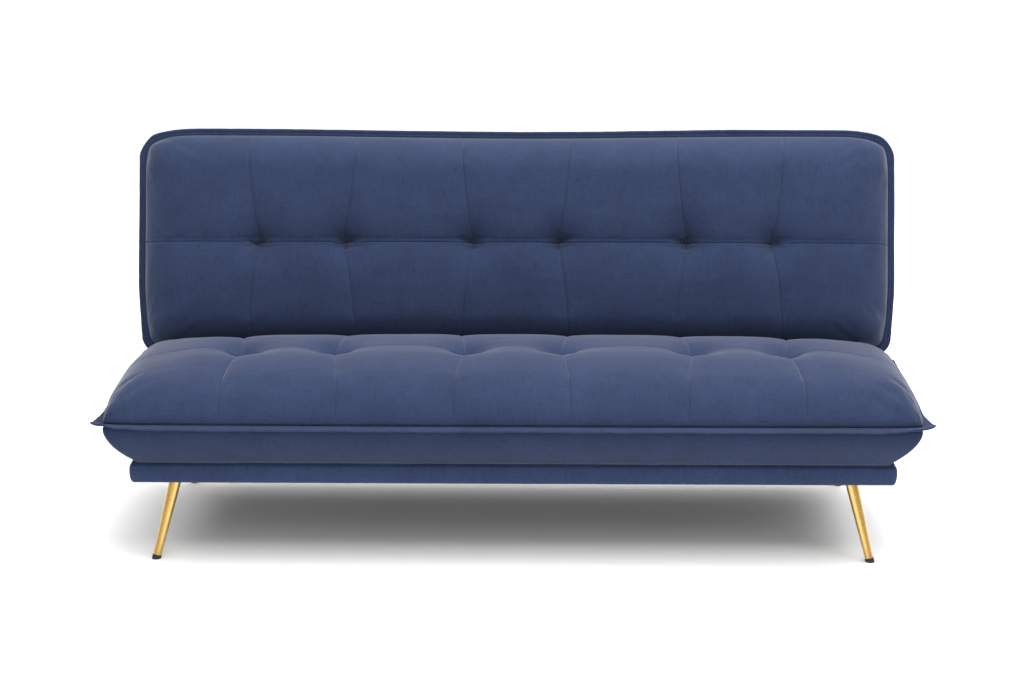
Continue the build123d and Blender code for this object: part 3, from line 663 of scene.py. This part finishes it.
def boxing_folds(points, plane, seed, drop):
    """Small puckers hanging from the flange and slow dents in the filling."""
    local = (points - plane.origin) @ plane.axes.T
    depth = np.clip(-local[:, 2] / drop, 0, 1)
    around = local * np.array([1.0, 1.0, 0.0])
    pucker = wander(around + np.array([0, 0, 0.003]), 34.0, seed) * np.exp(-depth * 5)
    slow = wander(local * np.array([0.6, 0.6, 1.2]), 9.0, seed + 4)
    folds = 1.7 * MM * pucker * blur_step(depth / 0.06) + 2.6 * MM * slow * np.sin(np.pi * depth)
    by_arm = np.abs(np.abs(local[:, 0]) - SEAT_ARM_X) < FLANGE_NOTCH
    return folds * np.where(by_arm, 0, 1)


# ---------------------------------------- materials

def shader(name, roughness, metallic=0.0):
    """A new material with its node tree and principled shader."""
    material = bpy.data.materials.new(name)
    material.use_nodes = True
    tree = material.node_tree
    principled = tree.nodes["Principled BSDF"]
    principled.inputs["Roughness"].default_value = roughness
    principled.inputs["Metallic"].default_value = metallic
    return material, tree, principled


def texture_place(tree, scale):
    """Object coordinates stretched by scale."""
    coordinates = tree.nodes.new("ShaderNodeTexCoord")
    mapping = tree.nodes.new("ShaderNodeMapping")
    mapping.inputs["Scale"].default_value = scale
    tree.links.new(coordinates.outputs["Object"], mapping.inputs["Vector"])
    return mapping.outputs["Vector"]


def noise_texture(tree, scale, detail=3.0, stretch=(1, 1, 1), roughness=0.55):
    """Procedural noise on stretched object coordinates."""
    texture = tree.nodes.new("ShaderNodeTexNoise")
    texture.inputs["Scale"].default_value = scale
    texture.inputs["Detail"].default_value = detail
    texture.inputs["Roughness"].default_value = roughness
    tree.links.new(texture_place(tree, stretch), texture.inputs["Vector"])
    return texture.outputs["Fac"]


def ramp(tree, factor, stops):
    """Colours along a factor, given as (position, colour)."""
    colours = tree.nodes.new("ShaderNodeValToRGB")
    while len(colours.color_ramp.elements) < len(stops):
        colours.color_ramp.elements.new(0.5)
    for element, (position, colour) in zip(colours.color_ramp.elements, stops):
        element.position = position
        element.color = (*colour, 1)
    tree.links.new(factor, colours.inputs["Fac"])
    return colours.outputs["Color"]


def multiply_colours(tree, first, second):
    mixer = tree.nodes.new("ShaderNodeMix")
    mixer.data_type = "RGBA"
    mixer.blend_type = "MULTIPLY"
    mixer.inputs["Factor"].default_value = 1.0
    tree.links.new(first, mixer.inputs["A"])
    tree.links.new(second, mixer.inputs["B"])
    return mixer.outputs["Result"]


def add_values(tree, first, second, weight):
    """first + weight x second."""
    adder = tree.nodes.new("ShaderNodeMath")
    adder.operation = "MULTIPLY_ADD"
    tree.links.new(second, adder.inputs[0])
    adder.inputs[1].default_value = weight
    tree.links.new(first, adder.inputs[2])
    return adder.outputs["Value"]


def bump(tree, principled, height, strength, distance):
    """Fine relief on a shader's normal."""
    node = tree.nodes.new("ShaderNodeBump")
    node.inputs["Strength"].default_value = strength
    node.inputs["Distance"].default_value = distance
    tree.links.new(height, node.inputs["Height"])
    tree.links.new(node.outputs["Normal"], principled.inputs["Normal"])


def fabric(name, colour, sheen_tint, sheen, depth=1.0):
    """Brushed microfibre: fine crossed threads, a mottled nap and a soft sheen."""
    material, tree, principled = shader(name, 0.88)
    level = noise_texture(tree, 1.0, 4, (620, 42, 42))
    upright = noise_texture(tree, 1.0, 4, (46, 640, 640))
    threads = add_values(tree, level, upright, 1.0)
    nap = noise_texture(tree, 14, 6, roughness=0.65)
    patches = noise_texture(tree, 3.2, 3)
    dark = tuple(c * 0.88 for c in colour)
    light = tuple(c * 1.12 for c in colour)
    nap_colour = ramp(tree, nap, ((0.30, dark), (0.55, colour), (0.80, light)))
    patch_colour = ramp(tree, patches, ((0.35, (0.95, 0.95, 0.96)), (0.70, (1.04, 1.04, 1.03))))
    thread_stops = ((0.72, (0.78, 0.79, 0.81)), (0.93, (1.02, 1.02, 1.02)), (1.0, (1.16, 1.16, 1.15)))
    thread_colour = ramp(tree, threads, thread_stops)
    mottled = multiply_colours(tree, nap_colour, patch_colour)
    tree.links.new(multiply_colours(tree, mottled, thread_colour), principled.inputs["Base Color"])
    principled.inputs["Sheen Weight"].default_value = sheen
    principled.inputs["Sheen Roughness"].default_value = 0.42
    principled.inputs["Sheen Tint"].default_value = (*sheen_tint, 1)
    principled.inputs["Specular IOR Level"].default_value = 0.12
    bump(tree, principled, add_values(tree, threads, nap, 0.5), 0.55 * depth, 0.0006)
    return material


def wood(name, light, dark, along):
    """Planed softwood with grain that runs along one axis."""
    material, tree, principled = shader(name, 0.62)
    stretch = tuple(1.2 if i == along else 26.0 for i in range(3))
    grain = noise_texture(tree, 1.0, 7, stretch, 0.62)
    pores = noise_texture(tree, 1.0, 4, tuple(s * 9 for s in stretch))
    middle = tuple((a + b) / 2 for a, b in zip(light, dark))
    grain_colour = ramp(tree, grain, ((0.30, dark), (0.48, middle), (0.68, light)))
    pore_colour = ramp(tree, pores, ((0.30, (0.80, 0.78, 0.75)), (0.60, (1.03, 1.03, 1.03))))
    tree.links.new(multiply_colours(tree, grain_colour, pore_colour), principled.inputs["Base Color"])
    bump(tree, principled, add_values(tree, grain, pores, 0.5), 0.4, 0.0008)
    return material


def metal(name, colour, roughness, metallic=1.0, scratch=0.25, coat=0.0):
    """Metal or lacquered metal with fine brushing and a little uneven polish."""
    material, tree, principled = shader(name, roughness, metallic)
    brushed = noise_texture(tree, 1.0, 4, (900, 900, 35))
    cloudy = noise_texture(tree, 24, 4)
    shade = tuple(c * 0.86 for c in colour)
    tree.links.new(ramp(tree, cloudy, ((0.35, shade), (0.70, colour))), principled.inputs["Base Color"])
    spread = tree.nodes.new("ShaderNodeMapRange")
    spread.inputs["To Min"].default_value = roughness * 0.78
    spread.inputs["To Max"].default_value = min(1.0, roughness * 1.3)
    tree.links.new(brushed, spread.inputs["Value"])
    tree.links.new(spread.outputs["Result"], principled.inputs["Roughness"])
    principled.inputs["Coat Weight"].default_value = coat
    principled.inputs["Coat Roughness"].default_value = 0.2
    bump(tree, principled, brushed, scratch, 0.0001)
    return material


def plain(name, colour, roughness, grain_scale, grain_depth):
    """Moulded plastic, felt or cloth with a fine even grain."""
    material, tree, principled = shader(name, roughness)
    grain = noise_texture(tree, grain_scale, 5, roughness=0.7)
    dark = tuple(c * 0.75 for c in colour)
    tree.links.new(ramp(tree, grain, ((0.30, dark), (0.70, colour))), principled.inputs["Base Color"])
    bump(tree, principled, grain, grain_depth, 0.0006)
    return material


NAVY = (0.0150, 0.0240, 0.0565)
SHEEN = (0.62, 0.61, 0.66)
# painted shade: the boxing, flange, back panel and deck cloth are the same navy made darker than the face
SIDE_PAINTED_SHADE = 0.95
WRAP_PAINTED_LIGHT = 1.3  # lighter only to make up for the shade of the cushion above under this script's lights


def navy(part, shade, sheen, depth=1.0):
    """The sofa's one cloth, at one part's brightness and sheen. The brightness is painted light and shade:
    the same cloth made darker for the sides and lighter for the plinth wrap.
    """
    return fabric("navy_microfibre_" + part, tuple(c * shade for c in NAVY), SHEEN, sheen, depth)


FACE = navy("face", 1, 0.36)
# painted shade: SIDE and TRIM are darker copies of the face cloth
SIDE = navy("side", SIDE_PAINTED_SHADE, 0.20)
# painted light: the plinth wrap is the same navy made lighter
WRAP = navy("wrap", WRAP_PAINTED_LIGHT, 0.24)
TRIM = navy("trim", SIDE_PAINTED_SHADE, 0.18, 0.8)
THREAD = plain("navy_thread", (0.030, 0.044, 0.085), 0.6, 900, 0.3)
DUST = plain("black_dust_cloth", (0.016, 0.016, 0.018), 0.95, 420, 0.5)
FELT = plain("grey_felt", (0.24, 0.23, 0.21), 0.95, 300, 0.8)
WEBBING = plain("elastic_webbing", (0.22, 0.17, 0.11), 0.85, 500, 0.8)
PINE = wood("planed_pine", (0.62, 0.43, 0.23), (0.40, 0.24, 0.11), 0)
PINE_UPRIGHT = wood("planed_pine_upright", (0.60, 0.42, 0.23), (0.38, 0.23, 0.11), 1)
GOLD = metal("satin_gold", (0.66, 0.43, 0.135), 0.25, 1.0, 0.05, 0.2)
BLACK_METAL = metal("black_powder_coat", (0.030, 0.030, 0.032), 0.5, 0.4, 0.3)
HINGE_METAL = metal("dark_hinge_steel", (0.11, 0.11, 0.12), 0.42, 0.9, 0.4)
ZINC = metal("bright_zinc", (0.58, 0.59, 0.60), 0.32, 1.0, 0.2)
SPRING_WIRE = metal("oiled_spring_wire", (0.20, 0.20, 0.21), 0.35, 1.0, 0.2)
GLIDE = plain("black_glide", (0.008, 0.008, 0.008), 0.55, 700, 0.3)


def finish_cad_nodes():
    """Give every carried-over CAD node its material: the first entry with a matching start counts."""
    zinc = ("leg_plate_screws", "hinge_seat_screws", "hinge_back_screws")
    zinc += ("hinge_pivot", "pawl_pin", "seat_to_plinth")
    upright = ["back_left_upright", "back_right_upright", "back_mid_uprights"]
    rails = ("left_rail", "right_rail", "cross_rails")
    upright += [f"{part}_{rail}" for part in ("seat", "plinth") for rail in rails]
    finishes = (
        (GLIDE, ("leg_glide",)),
        (ZINC, zinc),
        (BLACK_METAL, ("leg_plate", "seat_spring_clips")),
        (GOLD, ("leg_",)),
        (SPRING_WIRE, ("pawl_spring", "seat_springs")),
        (HINGE_METAL, ("hinge_", "pawl_")),
        (FELT, ("seat_felt",)),
        (WEBBING, ("back_webbing", "back_cross_webbing")),
        (DUST, ("dust_cover",)),
        (PINE_UPRIGHT, tuple(upright)),
        (PINE, ("",)),
    )
    for name, node in nodes.items():
        material = next(finish for finish, starts in finishes if name.startswith(starts))
        node.data.materials.clear()
        node.data.materials.append(material)


# ---------------------------------------- the pieces

def sewn_edge(cushion, edge, body):
    """The flange and its stitches round the seat or back cushion."""
    finish_piece(flange(cushion + "_flange_fold", edge), body, TRIM, "side_fabric", cushion + "_flange")
    finish_piece(stitch_row(cushion + "_flange_stitches", edge), body, THREAD, "side_fabric")


def make_seat():
    """Seat pillow, its sewn edge, and the border under it round the seat frame."""
    frame_low, frame_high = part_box("seat_left_rail")
    near, far = frame_low.y - SEAT_CENTRE.y, frame_high.y - SEAT_CENTRE.y
    inner = (near - FRAME_GAP, far + FRAME_GAP, -frame_low.x + FRAME_GAP)
    felt_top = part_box("seat_felt")[1].z - SEAT_CENTRE.z + 0.3 * MM
    block = (inner[0] + BLOCK_GAP, inner[1] - BLOCK_GAP, inner[2] - BLOCK_GAP, felt_top)
    half_y = SEAT_BODY_HALF_DEPTH
    pillow = Pillow(
        SEAT,
        half_y,
        crown=SEAT_CROWN,
        rear_fall=SEAT_REAR_FALL,
        side_bulge=13 * MM,
        corner_draw=9 * MM,
        tuft_along=-18 * MM,
        tuft_depth=33 * MM,
        cross_seam=False,
        seed=1,
    )
    cushion = build_pillow("seat_pillow", pillow, block)
    finish_piece(cushion, "base", FACE, "seat_fabric", "seat_cushion")
    notch = (1, (SEAT_ARM_X + BACK_ARM_X) / 2, FLANGE_NOTCH)
    edge = Edge(SEAT, half_y, 3, notch, curl=5.6 * MM, droop=6 * MM, radius=5 * MM, on_seat=True)
    sewn_edge("seat", edge, "base")
    lower = boxing(
        "seat_boxing",
        SEAT,
        half_y,
        drop=BOXING_DROP,
        taper=SEAT_TAPER,
        rear_share=0.35,
        inner=inner,
        slot=(1, SEAT_ARM_X, ARM_SLOT),
        slot_level=SEAT_CENTRE.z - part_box("seat_rear_rail")[0].z - 26 * MM,
        seed=5,
    )
    finish_piece(lower, "base", SIDE, "side_fabric", "seat_border")


def make_back():
    """Back pillow, its sewn edge, the border behind it and the cloth-covered rear panel."""
    half_y = BACK_BODY_HALF_HEIGHT
    inner_y = BACK_HALF_HEIGHT - 51.3 * MM
    inner_x = -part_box("back_left_upright")[0].x + FRAME_GAP
    block = (-inner_y + BLOCK_GAP, inner_y - BLOCK_GAP, inner_x - BLOCK_GAP, -25 * MM)
    pillow = Pillow(
        BACK,
        half_y,
        crown=BACK_CROWN,
        rear_fall=0.0,
        side_bulge=3 * MM,
        corner_draw=17 * MM,
        tuft_along=0.0,
        tuft_depth=31 * MM,
        cross_seam=True,
        seed=2,
    )
    cushion = build_pillow("back_pillow", pillow, block)
    finish_piece(cushion, "backrest", FACE, "seat_fabric", "back_cushion")
    notch = (-1, (SEAT_ARM_X + BACK_ARM_X) / 2, FLANGE_NOTCH)
    edge = Edge(BACK, half_y, 8, notch, curl=2 * MM, droop=0.0, radius=26 * MM, on_seat=False)
    sewn_edge("back", edge, "backrest")
    rear = boxing(
        "back_boxing",
        BACK,
        half_y,
        drop=BACK_DEPTH,
        taper=BACK_TAPER,
        rear_share=1.0,
        inner=(-inner_y, inner_y, inner_x),
        slot=(-1, BACK_ARM_X, ARM_SLOT),
        slot_level=84 * MM,
        seed=11,
    )
    finish_piece(rear, "backrest", SIDE, "side_fabric", "back_border")
    half = (BODY_HALF_WIDTH - BACK_TAPER + 0.8 * MM, half_y - BACK_TAPER + 0.8 * MM)
    low = -BACK_DEPTH + 1.2 * MM
    panel = board("back_cloth_panel", BACK, half, low, low - 4.6 * MM, 13 * MM, 21)
    finish_piece(panel, "backrest", SIDE, "side_fabric", "back_rear_panel")


def board(name, plane, half, flat, eased, turn, seed):
    """A cloth-covered board between two levels of its plane: a flat side and one with turned edges."""
    across = np.linspace(-half[0], half[0], round(2 * half[0] / BOARD_SPACING))
    along = np.linspace(-half[1], half[1], max(12, round(2 * half[1] / BOARD_SPACING)))
    grid_x, grid_y = np.meshgrid(across, along, indexing="ij")
    rows, columns = grid_x.shape
    border = np.minimum(half[0] - np.abs(grid_x), half[1] - np.abs(grid_y))
    turned = np.sqrt(blur_step((border + 2 * MM) / turn))
    points = np.stack([grid_x, grid_y, flat + (eased - flat) * turned], axis=-1)
    points[..., 2] += wander(points * np.array([0.5, 1, 1]), 8.0, seed) * 0.6 * MM * turned
    under = np.stack([grid_x, grid_y, np.full_like(grid_x, flat)], axis=-1)
    size = rows * columns
    upper = grid_faces(rows, columns)
    lower = [tuple(size + i for i in reversed(face)) for face in upper]
    ring = [i * columns for i in range(rows)]
    ring += [(rows - 1) * columns + j for j in range(1, columns)]
    ring += [i * columns + columns - 1 for i in range(rows - 2, -1, -1)]
    ring += [j for j in range(columns - 2, 0, -1)]
    pairs = list(zip(ring, ring[1:] + ring[:1]))
    sides = [(first, second, size + second, size + first) for first, second in pairs]
    verts = np.concatenate([points.reshape(-1, 3), under.reshape(-1, 3)])
    piece = make_object(name, plane.world(verts), upper + lower + sides)
    outward(piece)
    return piece


def make_plinth():
    """Thin upholstered wrap of the plinth, the cloth underneath and the covered board behind the seat."""
    centre = (plinth_low + plinth_high) / 2
    plane = Frame((0, centre.y, centre.z), (0.0, 1.0, 0.0), (0.0, 0.0, 1.0))
    half_y = (plinth_high.y - plinth_low.y) / 2
    half_z = (plinth_high.z - plinth_low.z) / 2
    path = rounded_path(plinth_high.x + 1 * MM, half_y + 1 * MM, 12 * MM, 9 * MM, NO_SLOT)
    steps = 14
    depth = 8.6 * MM
    top = half_z + 1.1 * MM

    def section(place, direction):
        points = []
        for k in range(steps + 1):
            t = -1 + 2 * k / steps
            inset = 7 * MM * (1 - (1 - abs(t) ** 2.1) ** 0.5)
            recess = 2.4 * MM * blur_step((-t - 0.72) / 0.28)
            points.append((*(place - direction * inset), -t * half_z - recess))
        behind = place - direction * depth
        lip = place - direction * (depth + 14 * MM * direction[0] ** 2)
        points += [(*behind, -half_z + 0.2 * MM), (*behind, half_z - 1.2 * MM)]
        points += [(*lip, half_z + 0.7 * MM), (*lip, top), (*(place - direction * 8.2 * MM), top)]
        return points

    wrap = band("plinth_wrap", plane, path, section)

    def folds(points, normals):
        slow = wander(points * np.array([0.7, 0.7, 2.0]), 11.0, 31) * 1.1 * MM
        small = wander(points * np.array([1.0, 1.0, 0.4]), 42.0, 33) * 0.5 * MM
        return normals * np.array([1, 1, 0.2]) * (slow + small)[:, None]

    displace(wrap, folds)
    finish_piece(wrap, "base", WRAP, "side_fabric", "plinth_padding")
    make_dust_cloth()
    deck_low, deck_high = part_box("plinth_rear_deck")
    middle = (deck_low + deck_high) / 2
    deck_plane = Frame(middle, (0.0, 1.0, 0.0), (0.0, 0.0, 1.0))
    half = (deck_high - deck_low) / 2
    deck = board("plinth_deck_cloth", deck_plane, half, -half.z, half.z, 7 * MM, 41)
    finish_piece(deck, "base", SIDE, "side_fabric", "plinth_rear_deck")


def make_dust_cloth():
    """Non-woven cloth stapled tight under the plinth, cut away round the four leg plates."""
    low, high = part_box("dust_cover")
    margin = Vector((3 * MM,) * 3)
    plates = [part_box(f"leg_plate_{end}_{side}") for end in ("front", "rear") for side in ("left", "right")]
    holes = [(plate_low - margin, plate_high + margin) for plate_low, plate_high in plates]
    across = sorted({*np.linspace(low.x, high.x, 120), *(c.x for hole in holes for c in hole)})
    along = sorted({*np.linspace(low.y, high.y, 44), *(c.y for hole in holes for c in hole)})
    grid_x, grid_y = np.meshgrid(across, along, indexing="ij")
    border = np.minimum(high.x - np.abs(grid_x), np.minimum(grid_y - low.y, high.y - grid_y))
    points = np.stack([grid_x, grid_y, np.full_like(grid_x, high.z - 0.6 * MM)], axis=-1)
    sag = 1.2 * MM + 0.8 * MM * wander(points * np.array([1, 1, 0]), 9.0, 51)
    points[..., 2] -= sag * blur_step(border / (60 * MM))
    flat = points.reshape(-1, 3)
    faces = []
    for face in grid_faces(*grid_x.shape):
        centre = flat[list(face)].mean(axis=0)
        if any(a.x < centre[0] < b.x and a.y < centre[1] < b.y for a, b in holes):
            continue
        faces.append(face)
    piece = make_object("dust_cloth", flat, faces)
    with editing(piece) as mesh:
        bmesh.ops.delete(mesh, geom=[v for v in mesh.verts if not v.link_faces], context="VERTS")
    thickness = piece.modifiers.new("Solidify", "SOLIDIFY")
    thickness.thickness = 0.5 * MM
    apply_modifiers(piece)
    outward(piece)
    finish_piece(piece, "base", DUST, "dust_cloth", "dust_cover")


# ---------------------------------------- stage, light and camera

def make_stage():
    """Pale floor, and a world that is dimmer overhead than at the horizon, so the shadow stays dark."""
    corners = [(40 * x, 40 * y, 0) for x, y in ((-1, -1), (1, -1), (1, 1), (-1, 1))]
    floor = make_object("studio_floor", corners, [(0, 1, 2, 3)])
    material, tree, principled = shader("pale_floor", 0.9)
    principled.inputs["Base Color"].default_value = (0.95, 0.95, 0.95, 1)
    principled.inputs["Specular IOR Level"].default_value = 0.1
    floor.data.materials.append(material)
    world = bpy.data.worlds.new("studio")
    bpy.context.scene.world = world
    world.use_nodes = True
    background = world.node_tree.nodes["Background"]
    background.inputs["Color"].default_value = (1.0, 1.0, 1.0, 1)
    tree = world.node_tree
    direction = tree.nodes.new("ShaderNodeTexCoord")
    height = tree.nodes.new("ShaderNodeSeparateXYZ")
    strength = tree.nodes.new("ShaderNodeMapRange")
    for socket, value in (("From Min", 0.08), ("From Max", 0.24), ("To Min", 1.0), ("To Max", 0.31)):
        strength.inputs[socket].default_value = value
    tree.links.new(direction.outputs["Generated"], height.inputs["Vector"])
    tree.links.new(height.outputs["Z"], strength.inputs["Value"])
    tree.links.new(strength.outputs["Result"], background.inputs["Strength"])


def area_light(name, place, target, size, power):
    """A rectangular light at a place, turned to its target."""
    data = bpy.data.lights.new(name, "AREA")
    data.shape = "RECTANGLE"
    data.size, data.size_y = size
    data.energy = power
    light = bpy.data.objects.new(name, data)
    light.location = place
    direction = Vector(target) - Vector(place)
    light.rotation_euler = direction.to_track_quat("-Z", "Y").to_euler()
    bpy.context.scene.collection.objects.link(light)


def make_light():
    """A broad ceiling light, two soft lamps in front and one overhead."""
    middle = (0, 0, 0.4)
    data = bpy.data.lights.new("ceiling", "SUN")
    data.energy = 2.5
    data.angle = math.radians(90)
    bpy.context.scene.collection.objects.link(bpy.data.objects.new("ceiling", data))
    area_light("overhead", (0.5, -0.4, 3.4), middle, (4.5, 3.0), 215)
    area_light("front_fill", (-1.5, -4.5, 2.4), middle, (3.5, 2.5), 50)
    area_light("right_key", (3.2, -2.6, 2.8), middle, (2.0, 2.0), 42)


def make_camera():
    """The photograph's viewpoint, found by fitting its proportions."""
    distance, height, sideways, pitch = 4.6, 1.66, 0.07, math.radians(13.89)
    front_edge = seat_low.y
    data = bpy.data.cameras.new("camera")
    data.sensor_width = 36
    data.lens = 79.3
    camera = bpy.data.objects.new("camera", data)
    camera.location = (sideways, front_edge - distance, height)
    reach = distance + 0.05
    target = Vector((0, front_edge + 0.05, height - reach * math.tan(pitch)))
    camera.rotation_euler = (target - camera.location).to_track_quat("-Z", "Y").to_euler()
    bpy.context.scene.collection.objects.link(camera)
    bpy.context.scene.camera = camera


make_camera()
make_stage()
make_light()
finish_cad_nodes()
make_seat()
make_back()
make_plinth()
bpy.context.scene.view_settings.view_transform = "Standard"
